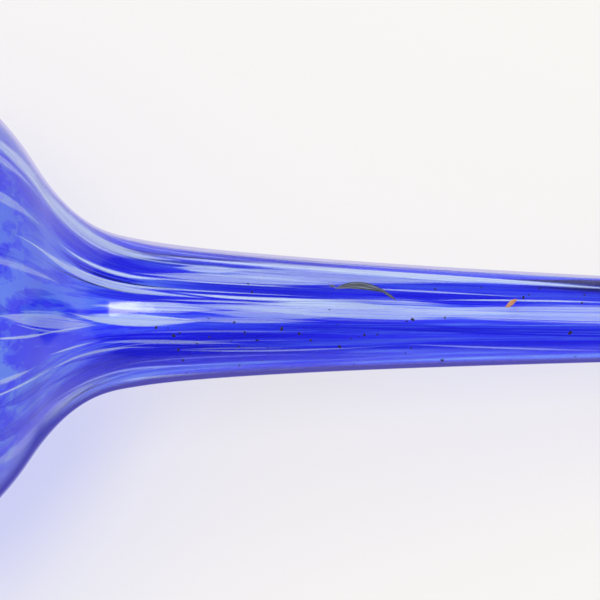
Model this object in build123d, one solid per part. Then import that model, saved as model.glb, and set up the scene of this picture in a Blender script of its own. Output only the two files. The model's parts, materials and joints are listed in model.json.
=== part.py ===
from build123d import *
import os
from math import asin, atan2, cos, degrees, hypot, radians, sin

# A hand-blown watering globe: a hollow glass ball on a long tapering stem, filled through the stem's open end.
# A clear casing lies over a blue lining, with slivers of white and of cobalt glass fused between the two.
# It lies on its side, resting on the ball and on the rim of the stem's end, because it can't stand alone.
# Each body is turned about the X axis, with the ball's centre at zero and the stem along +X, then laid down.

# Driving dimensions, in millimetres and degrees
globe_diameter = 90.0
stem_reach = 225.0  # ball's centre to the open end of the stem
throat_reach = 55.9  # ball's centre to the throat, where the flare runs into the stem
throat_diameter = 24.2
throat_slope = 10.1  # taper of the stem at the throat, to the axis
shoulder_angle = 33.4  # where the ball leaves off and the flare begins, measured at its centre from the axis
outlet_diameter = 11.0
outlet_length = 25.0  # straight last stretch of the stem

# How far each curve holds its end's direction before it bends away
flare_pull = 13.8
throat_pull = 4.8
stem_pull = 22.5
outlet_pull = 9.4

# Walls: the glass is thickest at the throat, where it gathers as the stem is drawn
casing_at_globe = 2.2
casing_at_throat = 3.6
casing_at_outlet = 1.7
lining_wall = 0.8
streak_depth = 0.35  # how deep the slivers sink into the lining
lip_round = 1.2  # fire-polished outer rim of the open end
mouth_round = 0.3  # and its inner rim

# Slivers of glass: the sizes of a usual one, and how far below the casing they lie
sliver_start = 46.0  # from the ball's centre
sliver_length = 70.0
sliver_width = 1.5
fuse_gap = 0.05

# Each sliver's turn about the axis from straight up, and its start, length and width in those sizes
white_slivers = [
    (0.0, 1.04, 0.66, 1.00),
    (17.0, 2.11, 1.29, 1.00),
    (62.0, 1.22, 0.93, 0.87),
    (105.0, 1.00, 1.21, 0.93),
    (150.0, 1.30, 1.29, 0.87),
    (195.0, 1.04, 1.00, 1.00),
    (240.0, 1.26, 1.36, 0.87),
    (284.0, 1.09, 1.14, 0.87),
    (320.0, 1.35, 1.29, 1.00),
]
cobalt_slivers = [
    (43.0, 1.87, 1.21, 1.00),
    (82.0, 1.02, 0.93, 1.00),
    (127.0, 1.13, 1.07, 0.93),
    (172.0, 1.22, 1.43, 0.87),
    (217.0, 1.07, 1.21, 1.00),
    (262.0, 1.24, 1.36, 0.87),
    (302.0, 1.11, 1.07, 0.80),
    (340.0, 1.00, 0.71, 1.00),
]

globe_radius = globe_diameter / 2
throat_radius = throat_diameter / 2
outlet_radius = outlet_diameter / 2


def outline(casing_share, depth):
    """Half outline from crown to open end, below the given share of the casing and a further depth."""
    ball = globe_radius - casing_share * casing_at_globe - depth
    throat = throat_radius - casing_share * casing_at_throat - depth
    outlet = outlet_radius - casing_share * casing_at_outlet - depth
    shoulder = Vector(ball, 0).rotate(Axis.Z, shoulder_angle)
    flare_way = Vector(0, -1).rotate(Axis.Z, shoulder_angle)
    neck = Vector(throat_reach, throat)
    neck_way = Vector(1, 0).rotate(Axis.Z, -throat_slope)
    taper_end = Vector(stem_reach - outlet_length, outlet)
    return [
        CenterArc((0, 0), ball, shoulder_angle, 180 - shoulder_angle),
        Bezier(shoulder, shoulder + flare_way * flare_pull, neck - neck_way * throat_pull, neck),
        Bezier(neck, neck + neck_way * stem_pull, taper_end - Vector(outlet_pull, 0), taper_end),
        Line(taper_end, Vector(stem_reach, outlet)),
    ]


def shell(outer, inner, rim_rounds=()):
    """Body of revolution between two outlines, with the given (radius at the open end, rounding) pairs."""
    crown = Line(Vector(outer[0] @ 1), Vector(inner[0] @ 1))
    rim = Line(Vector(outer[-1] @ 1), Vector(inner[-1] @ 1))
    section = make_face(outer + inner + [crown, rim])
    for radius, rounding in rim_rounds:
        corner = section.vertices().sort_by_distance((stem_reach, radius))[0]
        section = fillet(corner, rounding)
    return revolve(section, Axis.X)


def slivers(band, places):
    """Pointed slivers cut from a thin band of the wall, one for each place."""
    cuts = []
    for turn, start, length, width in places:
        tip = Vector(start * sliver_start, 0)
        end = tip + Vector(length * sliver_length, 0)
        bulge = Vector(0, width * sliver_width / 2)
        middle = (tip + end) * 0.5
        leaf = make_face([ThreePointArc(tip, middle + bulge, end), ThreePointArc(tip, middle - bulge, end)])
        cuts.append(Rot(turn, 0, 0) * extrude(leaf, globe_radius))
    return [band & cut for cut in cuts]


# Turned bodies, still on the X axis
outer_skin = outline(0, 0)
colour_skin = outline(1, 0)
sliver_skin = outline(1, fuse_gap)
sliver_floor = outline(1, streak_depth)
water_skin = outline(1, lining_wall)
mouth_radius = outlet_radius - casing_at_outlet - lining_wall

casing = shell(outer_skin, colour_skin, [(outlet_radius, lip_round)])
sliver_band = shell(sliver_skin, sliver_floor)
white = slivers(sliver_band, white_slivers)
cobalt = slivers(sliver_band, cobalt_slivers)
pocket_band = shell(colour_skin, sliver_floor)
lining = shell(colour_skin, water_skin, [(mouth_radius, mouth_round)])
lining = lining - slivers(pocket_band, white_slivers + cobalt_slivers)

# Laid down: the ball and the lower rim of the open end both touch the surface
rim_reach = stem_reach - lip_round
rim_height = outlet_radius - lip_round
lean = degrees(asin((globe_radius - lip_round) / hypot(rim_reach, rim_height)) - atan2(rim_height, rim_reach))
far_end = rim_reach * cos(radians(lean)) + rim_height * sin(radians(lean)) + lip_round
laid_down = Pos((globe_radius - far_end) / 2, 0, globe_radius) * Rot(0, lean, 0)

nodes = {
    "clear_casing": [casing],
    "blue_lining": [lining],
    "white_streaks": white,
    "cobalt_streaks": cobalt,
}
os.makedirs("parts", exist_ok=True)
for name, bodies in nodes.items():
    solids = [solid for body in bodies for solid in body.solids()]
    export_step(laid_down * Compound(children=solids), f"parts/{name}.step")
    print(name, len(solids), "solids", round(sum(solid.volume for solid in solids), 1), "mm3")
print("lean", round(lean, 3), "overall", round(globe_radius + stem_reach, 1))
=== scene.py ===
import json
import random
from bisect import bisect
from math import asin, atan, atan2, cos, pi, radians, sin, tan

import bpy
from mathutils import Matrix, Vector
from mathutils.geometry import interpolate_bezier


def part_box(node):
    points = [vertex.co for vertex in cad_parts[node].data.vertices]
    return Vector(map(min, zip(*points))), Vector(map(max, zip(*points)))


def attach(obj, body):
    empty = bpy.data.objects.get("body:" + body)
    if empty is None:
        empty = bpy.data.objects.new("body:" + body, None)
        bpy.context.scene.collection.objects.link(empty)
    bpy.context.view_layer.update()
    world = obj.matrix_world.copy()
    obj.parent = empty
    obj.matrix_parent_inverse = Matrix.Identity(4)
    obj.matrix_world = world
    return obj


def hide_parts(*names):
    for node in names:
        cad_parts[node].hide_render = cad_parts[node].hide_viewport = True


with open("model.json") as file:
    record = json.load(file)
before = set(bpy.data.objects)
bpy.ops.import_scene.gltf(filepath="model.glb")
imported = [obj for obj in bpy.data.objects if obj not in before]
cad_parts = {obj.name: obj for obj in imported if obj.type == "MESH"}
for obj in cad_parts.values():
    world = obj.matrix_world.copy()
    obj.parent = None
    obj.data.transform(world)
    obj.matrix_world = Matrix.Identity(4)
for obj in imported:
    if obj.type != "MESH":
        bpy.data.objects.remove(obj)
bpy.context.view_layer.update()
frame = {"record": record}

# The view of the photograph: a close look, from above, at the neck of a globe that lies on a table.
# The glass runs off both sides of the picture, so the camera is set by the neck and by the stem's slope.
# Lengths are in metres, and those of slivers, grains and scraps in millimetres.
mouth = frame["record"]["mounts"][0]
AXIS = Vector(mouth["axis"])
LEAN = asin(-AXIS.z)
casing_low, casing_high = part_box("clear_casing")
BALL_RADIUS = (casing_high.z - casing_low.z) / 2
BALL_CENTRE = Vector((casing_low.x + BALL_RADIUS, 0, BALL_RADIUS))
ELEVATION = radians(78)
STEM_SLOPE = radians(0.8)  # of the stem in the picture
PICTURE_WIDTH = 0.0994  # what the picture takes in at the neck
LENS = 250.0
AIM_REACH = 0.08275  # from the ball's centre along the stem
AIM_ABOVE_AXIS = 0.0025
CLIP_START = 0.01
GLASS_BOUNCES, GLOSS_BOUNCES, CLEAR_BOUNCES = 32, 16, 64

azimuth = -atan((tan(LEAN) * cos(ELEVATION) - tan(STEM_SLOPE)) / sin(ELEVATION))
to_camera = Vector((sin(azimuth) * cos(ELEVATION), -cos(azimuth) * cos(ELEVATION), sin(ELEVATION)))
picture_up = Vector((-sin(azimuth) * sin(ELEVATION), cos(azimuth) * sin(ELEVATION), cos(ELEVATION)))
picture_right = picture_up.cross(to_camera)
aim = BALL_CENTRE + AXIS * AIM_REACH + picture_up * AIM_ABOVE_AXIS
bpy.ops.object.camera_add()
camera = bpy.context.object
camera.name = "camera"
camera.data.lens = LENS
camera.location = aim + to_camera * (PICTURE_WIDTH * LENS / camera.data.sensor_width)
camera.rotation_euler = (-to_camera).to_track_quat("-Z", "Y").to_euler()
camera.data.clip_start = CLIP_START
scene = bpy.context.scene
scene.camera = camera
scene.view_settings.view_transform = "Standard"
scene.cycles.max_bounces = GLASS_BOUNCES
scene.cycles.transmission_bounces = GLASS_BOUNCES
scene.cycles.glossy_bounces = GLOSS_BOUNCES
scene.cycles.transparent_max_bounces = CLEAR_BOUNCES

# The table: a plain white sheet in a bright, soft room, with a broad window overhead.
# A skylight beyond the stem makes the wide, pale shadow on the near side of the glass.
# A small white card beside the camera shows only as a glint in the curve of the throat.
TABLE_SIZE = 8.0
TABLE_COLOUR = (0.90, 0.875, 0.84, 1)
TABLE_ROUGHNESS = 0.7
TABLE_GLOW = (0.955, 0.94, 0.915, 1)
GLOW_THROUGH_GLASS = (0.94, 0.95, 1.0, 1)
SHARE_TO_CAMERA, SHARE_THROUGH_GLASS = 0.45, 0.72
ROOM_COLOUR = (1.0, 1.0, 1.0, 1)
ROOM_LIGHT = 0.54
ROOM_SEEN_IN_GLOSS = 0.60
WINDOW_SIZE = (0.9, 0.5)
WINDOW_POWER = 13.5
WINDOW_PLACE = Vector((-0.32, 0.10, 1.95))
SKYLIGHT_SIZE = (1.0, 1.2)
SKYLIGHT_POWER = 10.5
SKYLIGHT_PLACE = Vector((-0.30, 1.15, 1.65))
CARD_SIZE = (0.28, 0.50)
CARD_POWER = 4.6
CARD_DISTANCE = 1.0
CARD_TO_THE_RIGHT = radians(50)
CARD_UPWARDS = radians(8)


class Wire:
    """A shader socket that takes part in Python sums, and makes the nodes of its own tree."""

    def __init__(self, tree, socket=None):
        self.tree = tree
        self.socket = socket

    def node(self, kind, settings=None, output=0, **values):
        """One node: its type, its settings, and the values or links of its sockets, by name or number."""
        made = self.tree.nodes.new(kind)
        for name, value in (settings or {}).items():
            setattr(made, name, value)
        for name, value in values.items():
            numbered = name.startswith("in") and name[2:].isdigit()
            key = int(name[2:]) if numbered else name.replace("_", " ")
            if isinstance(value, Wire):
                self.tree.links.new(value.socket, made.inputs[key])
            else:
                made.inputs[key].default_value = value
        return Wire(self.tree, made.outputs[output] if made.outputs else None)

    def other(self, output):
        """Another output of the node that this wire comes from."""
        return Wire(self.tree, self.socket.node.outputs[output])

    def maths(self, operation, *others):
        """One sum of this value and others."""
        return self.node("ShaderNodeMath", {"operation": operation},
                         in0=self, **{f"in{i + 1}": other for i, other in enumerate(others)})

    def __add__(self, other):
        return self.maths("ADD", other)

    def __sub__(self, other):
        return self.maths("SUBTRACT", other)

    def __rsub__(self, other):
        return self.maths("MULTIPLY_ADD", -1.0, other)

    def __mul__(self, other):
        return self.maths("MULTIPLY", other)

    def __truediv__(self, other):
        return self.maths("DIVIDE", other)

    __radd__ = __add__
    __rmul__ = __mul__

    def ease(self, low, high):
        """Smooth step of the value, from 0 at low to 1 at high."""
        return self.node("ShaderNodeMapRange", {"interpolation_type": "SMOOTHSTEP"},
                         Value=self, From_Min=low, From_Max=high)

    def mix(self, first, second):
        """The second shader laid over the first by this share."""
        return self.node("ShaderNodeMixShader", in0=self, in1=first, in2=second)

    def tint(self, first, second):
        """The colour that lies this share of the way from the first to the second."""
        return self.node("ShaderNodeMix", {"data_type": "RGBA"}, output=2, in0=self, in6=first, in7=second)


def new_material(name):
    """An empty node material and a wire to build it from."""
    material = bpy.data.materials.new(name)
    material.use_nodes = True
    material.node_tree.nodes.clear()
    return material, Wire(material.node_tree)


def finish_material(surface):
    """Sends a shader to the material's output."""
    surface.node("ShaderNodeOutputMaterial", Surface=surface)


bpy.ops.mesh.primitive_plane_add(size=TABLE_SIZE)
table = bpy.context.object
table.name = "table"
material, start = new_material("white_sheet")
ray = start.node("ShaderNodeLightPath", output="Is Camera Ray")
sheet = start.node("ShaderNodeBsdfPrincipled", Base_Color=TABLE_COLOUR, Roughness=TABLE_ROUGHNESS)
seen = (ray * SHARE_TO_CAMERA).mix(sheet, start.node("ShaderNodeEmission", Color=TABLE_GLOW))
through_glass = ray.other("Is Transmission Ray") * SHARE_THROUGH_GLASS
finish_material(through_glass.mix(seen, start.node("ShaderNodeEmission", Color=GLOW_THROUGH_GLASS)))
table.data.materials.append(material)

world = bpy.data.worlds.new("room")
scene.world = world
world.use_nodes = True
world.node_tree.nodes.clear()
start = Wire(world.node_tree)
ray = start.node("ShaderNodeLightPath", output="Is Glossy Ray")
dimmed = ray * (1.0 - ray.other("Is Transmission Ray")) * (1 - ROOM_SEEN_IN_GLOSS)
room = start.node("ShaderNodeBackground", Color=ROOM_COLOUR, Strength=(1.0 - dimmed) * ROOM_LIGHT)
start.node("ShaderNodeOutputWorld", Surface=room)


def add_lamp(name, place, target, size, power):
    """A rectangular lamp that looks from its place to its target."""
    bpy.ops.object.light_add(type="AREA", location=place)
    lamp = bpy.context.object
    lamp.name = name
    lamp.data.shape = "RECTANGLE"
    lamp.data.size, lamp.data.size_y = size
    lamp.data.energy = power
    lamp.rotation_euler = (target - place).to_track_quat("-Z", "Y").to_euler()
    return lamp


add_lamp("window", WINDOW_PLACE, Vector(), WINDOW_SIZE, WINDOW_POWER)
skylight = add_lamp("skylight", SKYLIGHT_PLACE, Vector(), SKYLIGHT_SIZE, SKYLIGHT_POWER)
skylight.visible_glossy = False
card_way = to_camera + picture_right * tan(CARD_TO_THE_RIGHT) + picture_up * tan(CARD_UPWARDS)
card = add_lamp("card", aim + card_way.normalized() * CARD_DISTANCE, aim, CARD_SIZE, CARD_POWER)
card.visible_diffuse = False
card.visible_transmission = False

# Blue lining: the inner gather of blue glass, mottled with chips of paler glass on the ball.
# It was blown and drawn with the clear casing over it, so the two are fused, and light bends only at the
# casing's outside and in the bore.
THROAT_REACH = 0.0559
STEM_REACH = 0.225
OUTLET_LENGTH = 0.025
THROAT_SLOPE = radians(10.1)
SHOULDER = radians(33.4)
FLARE_PULL, THROAT_PULL, STEM_PULL, OUTLET_PULL = 0.0138, 0.0048, 0.0225, 0.0094
THROAT_RADIUS, OUTLET_RADIUS = 0.0121, 0.0055
CASING_AT_BALL, CASING_AT_THROAT, CASING_AT_OUTLET = 0.0022, 0.0036, 0.0017
LINING_WALL = 0.0008
LINING_DEPTH = 0.00017  # below the slivers of white and cobalt glass
LIP_ROUND, MOUTH_ROUND = 0.0012, 0.0003
ARC_STEPS, TURN_STEPS = 40, 144
QUARTER_HOLD = 0.5523  # a quarter circle's curve handles, as a share of its radius
WELD = 1e-6

# How the glass was drawn: from here on what was round grows longer, at a pace that falls to a steady one
MM = 0.001
DRAW_START, DRAW_FADE, STEADY_DRAW = 16.0, 12.0, 0.07
DRAWN_RADIUS = 27.0
FRONT_HALF = (-5.0, 5.0)

# The mottle: large patches broken by threads, a little paler on the ball
PATCHES = dict(Scale=0.17, Detail=2.0, Roughness=0.45, Distortion=1.1)
THREADS = dict(Scale=0.6, Detail=5.0, Roughness=0.65, Distortion=0.4)
PATCH_PULL, THREAD_PULL, BALL_PULL, TONE_LOSS = 2.0, 1.3, 0.08, 1.18
BALL_ENDS = (26.0, 30.0)
DEEP_BLUE, MIDDLE_BLUE, LIGHT_BLUE = (0.12, 0.12, 1.0, 1), (0.23, 0.32, 1.0, 1), (0.45, 0.64, 1.0, 1)
MIDDLE_TONES, LIGHT_TONES = (0.33, 0.45), (0.54, 0.70)
CLEAR_TINT = (0.98, 0.98, 1, 1)
GLASS_IOR = 1.5
BORE_ROUGHNESS = 0.35


def outline(casing_share, depth, rim_round=0.0):
    """Curve knots (handle in, knot, handle out), crown to rim, below a share of the casing and a depth."""
    ball = BALL_RADIUS - casing_share * CASING_AT_BALL - depth
    throat = THROAT_RADIUS - casing_share * CASING_AT_THROAT - depth
    outlet = OUTLET_RADIUS - casing_share * CASING_AT_OUTLET - depth
    half_turn = (pi - SHOULDER) / 2
    hold = 4 / 3 * tan(half_turn / 4) * ball
    knots = []
    for turn in (pi, pi - half_turn, SHOULDER):
        knot = Vector((cos(turn), 0, sin(turn))) * ball
        way = Vector((sin(turn), 0, -cos(turn)))
        knots.append([knot - way * hold, knot, knot + way * hold])
    knots[-1][2] = knots[-1][1] + Vector((sin(SHOULDER), 0, -cos(SHOULDER))) * FLARE_PULL
    neck = Vector((THROAT_REACH, 0, throat))
    neck_way = Vector((cos(THROAT_SLOPE), 0, -sin(THROAT_SLOPE)))
    knots.append([neck - neck_way * THROAT_PULL, neck, neck + neck_way * STEM_PULL])
    taper_end = Vector((STEM_REACH - OUTLET_LENGTH, 0, outlet))
    rim = Vector((STEM_REACH - rim_round, 0, outlet))
    knots.append([taper_end - Vector((OUTLET_PULL, 0, 0)), taper_end, taper_end.lerp(rim, 1 / 3)])
    knots.append([taper_end.lerp(rim, 2 / 3), rim, rim])
    return knots


def rim_bend(knots, radius_step):
    """Rounds the end of an outline over the rim by a quarter circle, outwards from the bore or inwards."""
    rim = knots[-1][1]
    hold = QUARTER_HOLD * abs(radius_step)
    top = Vector((STEM_REACH, 0, rim.z + radius_step))
    knots[-1][2] = rim + Vector((hold, 0, 0))
    knots.append([top - Vector((0, 0, hold if radius_step > 0 else -hold)), top, top])
    return knots


def blow(name, outer, inner):
    """A hollow body turned about X from two outlines."""
    knots = outer + [[after, knot, before] for before, knot, after in reversed(inner)]
    bpy.ops.curve.primitive_bezier_curve_add()
    curve = bpy.context.object
    curve.name = name
    spline = curve.data.splines[0]
    spline.bezier_points.add(len(knots) - 2)
    curve.data.resolution_u = ARC_STEPS
    for point, (before, knot, after) in zip(spline.bezier_points, knots):
        point.handle_left_type = point.handle_right_type = "FREE"
        point.handle_left, point.co, point.handle_right = before, knot, after
    bpy.ops.object.convert(target="MESH")
    body = bpy.context.object
    bpy.ops.object.mode_set(mode="EDIT")
    bpy.ops.mesh.select_all(action="SELECT")
    bpy.ops.mesh.spin(steps=TURN_STEPS, angle=2 * pi, center=(0, 0, 0), axis=(1, 0, 0))
    bpy.ops.mesh.select_all(action="SELECT")
    bpy.ops.mesh.remove_doubles(threshold=WELD)
    bpy.ops.mesh.normals_make_consistent(inside=False)
    bpy.ops.object.mode_set(mode="OBJECT")
    bpy.ops.object.shade_smooth()
    return body


def paint_walls(body, outside, inside):
    """Gives the faces that look away from the axis one material and those of the hollow another."""
    body.data.materials.clear()
    body.data.materials.append(outside)
    body.data.materials.append(inside)
    for face in body.data.polygons:
        radial = Vector((0, face.center.y, face.center.z))
        at_rim = face.center.x > STEM_REACH - LIP_ROUND
        face.material_index = 0 if face.normal.dot(radial) > 0 or at_rim else 1


# Bodies are turned about X and then laid down, and turns are counted from the camera's side upwards
lay_down = Matrix.Translation(BALL_CENTRE) @ Matrix.Rotation(LEAN, 4, "Y")
view_from_stem = lay_down.to_3x3().inverted() @ to_camera
VIEW_ROLL = atan2(-view_from_stem.y, view_from_stem.z)
NEAR_WAY = Vector((0, -sin(VIEW_ROLL), cos(VIEW_ROLL)))
UP_WAY = Vector((0, cos(VIEW_ROLL), sin(VIEW_ROLL)))


def drawn_out(start):
    """Place on the glass in millimetres, where what is round on the ball is drawn out long in the stem."""
    place = start.node("ShaderNodeTexCoord", output="Object")
    local = start.node("ShaderNodeMapping", {"vector_type": "TEXTURE"}, Vector=place,
                       Location=BALL_CENTRE, Rotation=(VIEW_ROLL, LEAN, 0), Scale=(MM, MM, MM))
    along = local.node("ShaderNodeSeparateXYZ", Vector=local)
    across, towards = along.other("Y"), along.other("Z")
    radius = (across * across + towards * towards).maths("SQRT")
    past = (along - DRAW_START).maths("MAXIMUM", 0.0)
    slowing = DRAW_FADE * (1.0 - (past * (-1 / DRAW_FADE)).maths("EXPONENT"))
    drawn = along.maths("MINIMUM", DRAW_START) + slowing + past * STEADY_DRAW
    reach = radius.maths("MAXIMUM", DRAWN_RADIUS * along.ease(*FRONT_HALF))
    return start.node("ShaderNodeCombineXYZ", X=drawn, Y=across / radius * reach, Z=towards / radius * reach)


def tinting(start, colour):
    """Glass that colours what is seen through it and bends no light."""
    return start.node("ShaderNodeBsdfTransparent", Color=colour)


def bending(start, roughness):
    """Clear glass that bends light."""
    return start.node("ShaderNodeBsdfPrincipled", Base_Color=CLEAR_TINT, Roughness=roughness,
                      IOR=GLASS_IOR, Transmission_Weight=1.0)


def see_through(start, bent):
    """Lets lamp light and light between dull surfaces pass straight through a glass shader."""
    straight = start.node("ShaderNodeBsdfTransparent")
    ray = start.node("ShaderNodeLightPath", output="Is Shadow Ray")
    return ray.other("Is Diffuse Ray").mix(ray.mix(bent, straight), straight)


lining = blow("blue_lining", outline(1, LINING_DEPTH),
              rim_bend(outline(1, LINING_WALL, MOUTH_ROUND), MOUTH_ROUND))

blue_glass, start = new_material("blue_glass")
flow = drawn_out(start)
patch = start.node("ShaderNodeTexNoise", Vector=flow, **PATCHES)
thread = start.node("ShaderNodeTexNoise", Vector=flow, **THREADS)
on_ball = 1.0 - start.node("ShaderNodeSeparateXYZ", Vector=flow).ease(*BALL_ENDS)
tone = patch * PATCH_PULL + thread * THREAD_PULL - TONE_LOSS + on_ball * BALL_PULL
darker = tone.ease(*MIDDLE_TONES).mix(tinting(start, DEEP_BLUE), tinting(start, MIDDLE_BLUE))
finish_material(tone.ease(*LIGHT_TONES).mix(darker, tinting(start, LIGHT_BLUE)))

blue_bore, start = new_material("blue_glass_bore")
finish_material(see_through(start, bending(start, BORE_ROUGHNESS)))

paint_walls(lining, blue_glass, blue_bore)
lining.data.transform(lay_down)
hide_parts("blue_lining")
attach(lining, "root")

# White streaks: chips of opal white glass, rolled on to the hot blue gather and drawn out with the neck.
# They lie fused between the lining and the casing, feathered at their edges and lined along their length.
WHITE_DEPTH = 0.00004
SLIVER_WALL = 0.00003
SLIVER_STEPS, SLIVER_ROWS = 48, 4
SKIN_STEPS = 120
TIP_SHARE = 0.03
TIP_FADES = (0.25, 0.40)
LEAF_FULLNESS = 0.8
OPAL = (0.73, 0.87, 1.0, 1)

# The lines along a sliver: length in millimetres, shift from one sliver to the next, and what makes cover
LINE_LENGTH = 20.0
LINE_SHIFT = 0.37
LINE_STRETCH = (0.35, 11.0, 1.0)
LINES = dict(Scale=1.0, Detail=4.0, Roughness=0.6)
LINE_GAPS = (0.25, 0.55)
INNER_PULL, BODY_PULL, LINE_PULL, COVER_LOSS = 2.4, 1.6, 4.6, 4.2

# From and to along the stem, turns at start, middle and end, width, and opacity.
# The turns are in degrees, from the camera's side upwards.
white_slivers = [
    (22, 62, (54, 60, 68), 6.4, 0.60),
    (27, 44, (60, 56, 53), 0.7, 0.80),
    (60, 74, (55, 59, 63), 2.2, 0.60),
    (56, 145, (72, 76, 58), 2.4, 0.90),
    (62, 112, (58, 60, 64), 3.4, 0.45),
    (38, 60, (35, 35, 37), 1.0, 0.90),
    (53, 92, (40, 46, 48), 2.6, 0.45),
    (30, 66, (24, 23, 18), 1.7, 0.65),
    (36, 61, (27, 26, 25), 0.3, 0.90),
    (59, 92, (24, 20, 24), 0.6, 0.95),
    (45, 70, (5, 6, 5), 1.9, 0.70),
    (51, 66, (0, -4, -8), 0.3, 0.90),
    (41, 66, (0, -7, -8), 2.3, 0.75),
    (28, 47, (-1, -4, -9), 4.0, 0.48),
    (36, 47, (-8, -9, -9), 0.4, 0.80),
    (26, 40, (-7, -8, -9), 0.6, 0.70),
    (66, 122, (9, 10, 7), 3.8, 0.55),
    (86, 192, (8, 8, 6), 3.6, 0.58),
    (60, 92, (11, 8, 9), 1.3, 0.45),
    (74, 102, (13, 14, 12), 1.7, 0.70),
    (63, 94, (3, 0, 2), 1.5, 0.40),
    (58, 86, (-5, -7, -8), 1.1, 0.35),
    (37, 47, (-18, -20, -21), 0.4, 0.75),
    (35, 58, (-25, -29, -37), 0.6, 0.55),
    (46, 73, (-22, -31, -37), 0.8, 0.35),
    (26, 35, (-20, -20, -20), 1.1, 0.60),
    (26, 39, (-24, -24, -25), 0.5, 0.80),
    (36, 72, (-42, -61, -71), 0.6, 0.50),
    (25, 50, (-47, -53, -62), 5.0, 0.35),
    (50, 70, (-74, -87, -92), 1.3, 0.80),
    (60, 98, (-41, -50, -46), 0.4, 0.50),
    (98, 140, (-43, -57, -70), 0.4, 0.55),
    (84, 120, (41, 41, 37), 0.4, 0.60),
    (103, 140, (26, 31, 31), 0.4, 0.70),
    (22, 36, (49, 49, 50), 2.4, 0.40),
    (20, 37, (34, 34, 35), 2.6, 0.32),
    (22, 40, (15, 14, 14), 1.8, 0.32),
]

# The slivers of the far side and the fine threads: their numbers, their first turn and its step, the share
# and shift that bend a turn at the middle and at the end, the limits of each measure, and the first map row
SPREAD_STEP = 0.618
white_far_side = dict(
    numbers=range(12), turning=(96, 14), bends=((1, 5), (1, -4)), starts=(30, 58), lengths=(34, 94),
    widths=(0.8, 3.0), opacities=(0.5, 0.8), map_row=40)
white_threads = dict(
    turning=(80, -11), bends=((1.06, 0), (1.1, -2)), starts=(32, 66), lengths=(16, 56), widths=(0.25, 0.45),
    map_row=60)
upper_threads = dict(numbers=range(7), opacities=(0.6, 0.6))
lower_threads = dict(numbers=range(7, 16), opacities=(0.22, 0.22))


def skin_line(casing_share, depth):
    """Reach and radius, in millimetres, of points along an outline of the glass."""
    knots = outline(casing_share, depth)
    points = []
    for (_, knot, after), (before, following, _) in zip(knots, knots[1:]):
        points += interpolate_bezier(knot, after, before, following, SKIN_STEPS)
    return [point.x / MM for point in points], [point.z / MM for point in points]


def skin_radius(skin, reach):
    """Radius of an outline at a reach."""
    reaches, radii = skin
    after = min(max(bisect(reaches, reach), 1), len(reaches) - 1)
    span = reaches[after] - reaches[after - 1]
    share = (reach - reaches[after - 1]) / span if span else 0
    return radii[after - 1] + (radii[after] - radii[after - 1]) * share


def round_axis(reach, turn, radius):
    """The point at a reach, turn and radius from the glass's own axis, before it is laid down."""
    return (Vector((reach, 0, 0)) + (NEAR_WAY * cos(turn) + UP_WAY * sin(turn)) * radius) * MM


def leaf(skin, first, last, turns, width, opacity, map_row):
    """A pointed leaf that lies on a skin, with its opacity as an attribute and its lines in its map."""
    bpy.ops.mesh.primitive_grid_add(x_subdivisions=SLIVER_STEPS, y_subdivisions=SLIVER_ROWS, size=1)
    piece = bpy.context.object
    start_turn, middle_turn, end_turn = turns
    solid = piece.data.attributes.new("opacity", "FLOAT", "POINT")
    body = piece.data.attributes.new("body", "FLOAT", "POINT")
    ways = []
    for vertex in piece.data.vertices:
        way, side = vertex.co.x + 0.5, vertex.co.y
        ways.append((way, side))
        reach = first + (last - first) * way
        radius = skin_radius(skin, reach)
        bow = 4 * (middle_turn - (start_turn + end_turn) / 2) * way * (1 - way)
        turn = radians(start_turn + (end_turn - start_turn) * way + bow)
        turn += width * max(sin(pi * way), TIP_SHARE) ** LEAF_FULLNESS * side / radius
        vertex.co = round_axis(reach, turn, radius)
        solid.data[vertex.index].value = opacity
        body.data[vertex.index].value = min(1, way / TIP_FADES[0], (1 - way) / TIP_FADES[1])
    for corner, place in zip(piece.data.loops, piece.data.uv_layers.active.data):
        way, side = ways[corner.vertex_index]
        place.uv = (way * (last - first) / LINE_LENGTH + map_row * LINE_SHIFT, side + 0.5 + map_row)
    return piece


def lay(skin, rows):
    """One leaf for each row of measures."""
    return [leaf(skin, *row, number) for number, row in enumerate(rows)]


def between(limits, share):
    """The value that lies a share of the way between two limits."""
    low, high = limits
    return low + (high - low) * share


def scatter(skin, numbers, turning, bends, starts, lengths, widths, opacities, map_row):
    """Numbered leaves in even steps round the axis, with measures spread between their limits."""
    leaves = []
    for number in numbers:
        spread = number * SPREAD_STEP % 1
        turn = turning[0] + turning[1] * number
        turns = [turn] + [turn * share + shift for share, shift in bends]
        first = between(starts, spread)
        last = first + between(lengths, 1 - spread)
        width, opacity = between(widths, spread), between(opacities, spread)
        leaves.append(leaf(skin, first, last, turns, width, opacity, number + map_row))
    return leaves


def join(name, pieces):
    """Makes one piece of several."""
    bpy.ops.object.select_all(action="DESELECT")
    for piece in pieces:
        piece.select_set(True)
    bpy.context.view_layer.objects.active = pieces[0]
    bpy.ops.object.join()
    joined = bpy.context.object
    joined.name = name
    return joined


def fuse(name, leaves, material, wall):
    """Joins leaves into one piece, gives them their thickness inwards and lays them with the glass."""
    piece = join(name, leaves)
    thicken = piece.modifiers.new("wall", "SOLIDIFY")
    thicken.thickness = wall
    thicken.offset = -1
    bpy.ops.object.modifier_apply(modifier="wall")
    bpy.ops.object.shade_smooth()
    piece.data.materials.append(material)
    piece.data.transform(lay_down)
    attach(piece, "root")
    return piece


def attribute(start, name):
    """A leaf's own value by its name."""
    return start.node("ShaderNodeAttribute", {"attribute_name": name}, output="Fac")


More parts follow.
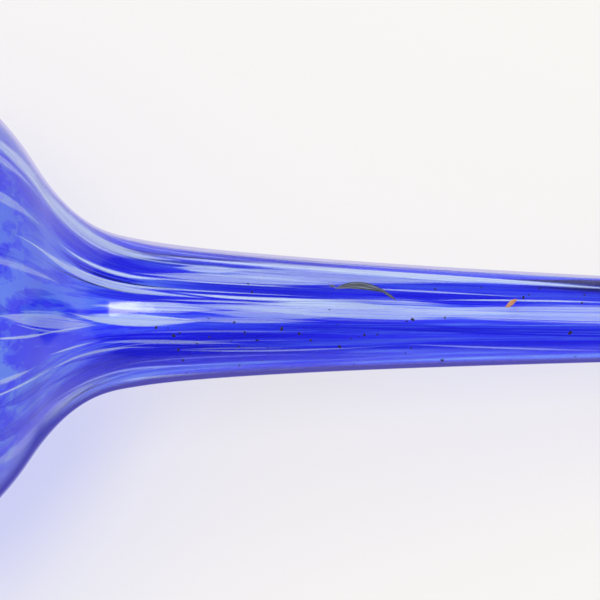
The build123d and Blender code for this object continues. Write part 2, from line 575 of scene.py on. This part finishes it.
def feathered(start):
    """Cover that each of a sliver's two faces gives: lined along its length and feathered at its edges."""
    uv = start.node("ShaderNodeTexCoord", output="UV")
    side = start.node("ShaderNodeSeparateXYZ", Vector=uv, output="Y").maths("FRACT")
    inner = 1.0 - ((side - 0.5) * 2.0).maths("ABSOLUTE")
    lined = start.node("ShaderNodeMapping", Vector=uv, Scale=LINE_STRETCH)
    lines = start.node("ShaderNodeTexNoise", Vector=lined, **LINES)
    depth = inner * INNER_PULL + attribute(start, "body") * BODY_PULL + lines * LINE_PULL - COVER_LOSS
    cover = depth.ease(0.0, 1.0) * lines.ease(*LINE_GAPS) * attribute(start, "opacity")
    return 1.0 - (1.0 - cover).maths("SQRT")


white_glass, start = new_material("white_glass")
opal = start.node("ShaderNodeBsdfDiffuse", Color=OPAL)
finish_material(feathered(start).mix(start.node("ShaderNodeBsdfTransparent"), opal))

white_skin = skin_line(1, WHITE_DEPTH)
leaves = lay(white_skin, white_slivers)
leaves += scatter(white_skin, **white_far_side)
leaves += scatter(white_skin, **white_threads, **upper_threads)
leaves += scatter(white_skin, **white_threads, **lower_threads)
white_streaks = fuse("white_streaks", leaves, white_glass, SLIVER_WALL)
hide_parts("white_streaks")

# Cobalt streaks: chips of dark cobalt glass, rolled on and drawn out in the same way as the white ones.
# They are clear but very deep in colour, and the thickest, with an opacity above 1, are nearly black.
COBALT_DEPTH = 0.00010
COBALT, THICK_COBALT = (0.06, 0.045, 0.88, 1), (0.20, 0.14, 0.38, 1)
THICK_OPACITY = (1.0, 2.0)

# The same measures as for the white slivers
cobalt_slivers = [
    (38, 57, (32, 30, 32), 2.2, 1.00),
    (26, 60, (46, 46, 50), 5.0, 0.50),
    (40, 86, (-15, -25, -26), 2.3, 1.00),
    (74, 120, (-14, -18, -21), 2.4, 0.85),
    (86, 198, (-16, -24, -25), 3.4, 0.95),
    (58, 96, (31, 36, 40), 3.0, 0.40),
    (90, 128, (33, 31, 29), 2.4, 0.85),
    (34, 104, (-30, -55, -68), 6.5, 0.95),
    (80, 185, (-46, -54, -60), 3.6, 0.70),
    (32, 66, (-40, -50, -66), 5.6, 0.95),
    (38, 78, (-26, -38, -48), 3.6, 0.95),
    (29, 39, (-28, -29, -30), 3.2, 0.70),
    (26, 37, (-37, -39, -42), 3.6, 0.70),
    (116, 172, (80, 84, 80), 3.0, 2.00),
    (40, 68, (62, 70, 80), 0.5, 2.00),
    (46, 84, (70, 79, 86), 0.4, 1.80),
    (34, 62, (21, 20, 19), 0.3, 1.80),
    (40, 66, (29, 28, 26), 0.3, 1.80),
    (30, 54, (-54, -60, -74), 0.6, 1.90),
    (39, 51, (0, -3, -8), 0.4, 1.00),
    (41, 67, (13, 15, 11), 1.8, 0.75),
    (25, 33, (15, 16, 16), 4.0, 0.50),
    (31, 39, (6, 7, 8), 1.8, 0.50),
    (24, 31, (1, 1, 0), 3.6, 0.70),
    (35, 43, (16, 16, 17), 2.4, 0.50),
    (38, 60, (24, 24, 22), 0.3, 0.90),
]
cobalt_far_side = dict(
    numbers=range(10), turning=(103, 16), bends=((1, -5), (1, 4)), starts=(34, 60), lengths=(40, 100),
    widths=(1.4, 3.6), opacities=(0.6, 0.9), map_row=40)
cobalt_threads = dict(
    numbers=range(16), turning=(-80, 10.4), bends=((1.06, 0), (1.1, 2)), starts=(30, 66), lengths=(18, 62),
    widths=(0.4, 0.9), opacities=(0.55, 0.55), map_row=60)

cobalt_glass, start = new_material("cobalt_glass")
cover = feathered(start)
cobalt = cover.mix(start.node("ShaderNodeBsdfTransparent"), tinting(start, COBALT))
thick = attribute(start, "opacity").ease(*THICK_OPACITY) * cover
finish_material(thick.mix(cobalt, tinting(start, THICK_COBALT)))

cobalt_skin = skin_line(1, COBALT_DEPTH)
leaves = lay(cobalt_skin, cobalt_slivers)
leaves += scatter(cobalt_skin, **cobalt_far_side)
leaves += scatter(cobalt_skin, **cobalt_threads)
cobalt_streaks = fuse("cobalt_streaks", leaves, cobalt_glass, SLIVER_WALL)
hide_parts("cobalt_streaks")

# Clear casing: the thick outer gather of clear glass, fused to the blue, with a fire-polished end.
# Seen edge on, the glass has a lilac cast; over it the rim has painted light, pale along the upper edge, and
# painted shade, dark purple and wider along the lower one.
CASING_ROUGHNESS = 0.12
# Rim colours: painted shade on the lower side, painted light on the upper side, and the plain lilac cast at
# the very edge
RIM_PAINTED_SHADE, RIM_PAINTED_LIGHT, EDGE_TINT = (0.35, 0.33, 0.68, 1), (0.80, 0.79, 0.94, 1), (0.86, 0.84, 0.96, 1)
TURNS_TO_PAINTED_LIGHT = (-6.0, 6.0)
STEM_BEGINS = (28.5, 31.0)
STEM_RIM, PAINTED_SHADE_WIDENING = 0.16, 0.08
RIM_SLANTS, EDGE_SLANTS = (0.74, 0.90), (0.84, 0.97)

casing = blow("clear_casing", rim_bend(outline(0, 0, LIP_ROUND), -LIP_ROUND), outline(1, 0))

clear_glass, start = new_material("clear_glass")
drawn = start.node("ShaderNodeSeparateXYZ", Vector=drawn_out(start))
# Painted light and shade on the rim: paler towards the upper side, dark purple and wider towards the lower
# side
lit_side = drawn.other("Y").ease(*TURNS_TO_PAINTED_LIGHT)
rim = lit_side.mix(tinting(start, RIM_PAINTED_SHADE), tinting(start, RIM_PAINTED_LIGHT))
slant = start.node("ShaderNodeLayerWeight", output="Facing", Blend=0.5)
rim_slant = drawn.ease(*STEM_BEGINS) * STEM_RIM + slant + (1.0 - lit_side) * PAINTED_SHADE_WIDENING
rimmed = rim_slant.ease(*RIM_SLANTS).mix(bending(start, CASING_ROUGHNESS), rim)
finish_material(see_through(start, slant.ease(*EDGE_SLANTS).mix(rimmed, tinting(start, EDGE_TINT))))

fused_face, start = new_material("fused_face")
finish_material(start.node("ShaderNodeBsdfTransparent"))

paint_walls(casing, clear_glass, fused_face)
casing.data.transform(lay_down)
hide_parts("clear_casing")
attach(casing, "root")

# Soil: dried grains, left on the stem from its days in a pot.
# They sit on the outside of the casing, a few that stand out and many that are hardly seen.
GRAIN_SEED = 7
GRAIN_SHAPE = (1.7, 1.0, 0.7)
CRUMBS = dict(Scale=2500.0, Detail=3.0)
CRUMB_TONES = (0.40, 0.65)
DARK_SOIL, PALE_SOIL = (0.008, 0.007, 0.008, 1), (0.040, 0.030, 0.026, 1)
SOIL_ROUGHNESS, CRUMB_ROUGHNESS = 0.75, 0.3

# Reach, turn and size of the grains that stand out; the rest are strewn
large_grains = [
    (57, -11, 0.4), (60, -18, 0.6), (61, -16, 0.3), (64, -26, 0.3), (61, -31, 0.4), (62, -42, 0.4),
    (70, -7, 0.4), (71, -30, 0.4), (78, -13, 0.5), (81, -18, 0.5), (83, -25, 0.4), (88, -33, 0.5),
    (92, -20, 0.4), (100, -3, 0.5), (112, 38, 0.3), (119, 26, 0.4), (129, 21, 0.4), (127, -18, 0.6),
    (106, -58, 0.5), (122, 40, 0.3), (73, 21, 0.3), (66, -20, 0.3), (68, -35, 0.3), (74, -24, 0.4),
    (67, -13, 0.2), (63, -36, 0.3), (76, -32, 0.3), (72, -18, 0.2), (120, 30, 0.3), (99, -5, 0.3),
]
STREWN_GRAINS = 60
STREWN_REACH, STREWN_TURN, STREWN_SIZE = (56, 190), (-60, 45), (0.15, 0.35)

outer_skin = skin_line(0, 0)
chance = random.Random(GRAIN_SEED)
strewn = [(chance.uniform(*STREWN_REACH), chance.uniform(*STREWN_TURN), chance.uniform(*STREWN_SIZE))
          for _ in range(STREWN_GRAINS)]
grains = []
for reach, turn, size in large_grains + strewn:
    bpy.ops.mesh.primitive_ico_sphere_add(
        subdivisions=1, radius=size / 2 * MM, scale=GRAIN_SHAPE,
        location=round_axis(reach, radians(turn), skin_radius(outer_skin, reach)),
        rotation=(0, chance.uniform(0, pi), chance.uniform(0, pi)))
    bpy.ops.object.transform_apply()
    grains.append(bpy.context.object)
soil = join("soil_grains", grains)
soil.data.transform(lay_down)
dry_soil, start = new_material("dry_soil")
place = start.node("ShaderNodeTexCoord", output="Object")
crumb = start.node("ShaderNodeTexNoise", Vector=place, **CRUMBS)
finish_material(start.node(
    "ShaderNodeBsdfPrincipled", Base_Color=crumb.ease(*CRUMB_TONES).tint(DARK_SOIL, PALE_SOIL),
    Roughness=SOIL_ROUGHNESS + crumb * CRUMB_ROUGHNESS))
soil.data.materials.append(dry_soil)
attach(soil, "root")

# Dead leaf: a shrivelled leaf, stuck flat to the upper side of the stem, with its stalk and its curled tip.
# It is as thin as paper, grey and mottled, and its parts have the same measures as the slivers.
PLANT_WALL = 0.00010
MOTTLE = dict(Scale=6.0, Detail=3.0)
MOTTLE_TONES = (0.42, 0.60)
LEAF_DARK, LEAF_GREY = (0.03, 0.035, 0.035, 1), (0.17, 0.19, 0.27, 1)
LEAF_ROUGHNESS = 0.8
leaf_parts = [
    (86.0, 87.2, (32, 31, 31), 0.4, 1),
    (87.0, 96.0, (28, 33, 25), 1.4, 1),
    (95.0, 97.2, (27, 23, 18), 0.6, 1),
]
plant_skin = skin_line(0, -PLANT_WALL)
dead_leaf, start = new_material("dead_leaf")
uv = start.node("ShaderNodeTexCoord", output="UV")
mottle = start.node("ShaderNodeTexNoise", Vector=uv, **MOTTLE).ease(*MOTTLE_TONES)
finish_material(start.node(
    "ShaderNodeBsdfPrincipled", Base_Color=mottle.tint(LEAF_DARK, LEAF_GREY), Roughness=LEAF_ROUGHNESS))
fuse("dead_leaf", lay(plant_skin, leaf_parts), dead_leaf, PLANT_WALL)

# Straw: a short scrap of dry straw, stuck aslant to the stem.
# It is split and flat, with fibres along its length.
FIBRE_STRETCH = (6.0, 9.0, 1.0)
FIBRES = dict(Scale=1.0, Detail=4.0)
FIBRE_TONES = (0.35, 0.65)
STRAW_BROWN, STRAW_PALE = (0.32, 0.11, 0.04, 1), (0.72, 0.38, 0.18, 1)
STRAW_ROUGHNESS, FIBRE_GLOSS = 0.8, 0.2
straw_parts = [(115.8, 117.9, (13, 18, 23), 1.0, 1)]
straw, start = new_material("straw")
uv = start.node("ShaderNodeTexCoord", output="UV")
stretched = start.node("ShaderNodeMapping", Vector=uv, Scale=FIBRE_STRETCH)
fibre = start.node("ShaderNodeTexNoise", Vector=stretched, **FIBRES).ease(*FIBRE_TONES)
finish_material(start.node(
    "ShaderNodeBsdfPrincipled", Base_Color=fibre.tint(STRAW_BROWN, STRAW_PALE),
    Roughness=STRAW_ROUGHNESS - fibre * FIBRE_GLOSS))
fuse("straw", lay(plant_skin, straw_parts), straw, PLANT_WALL)
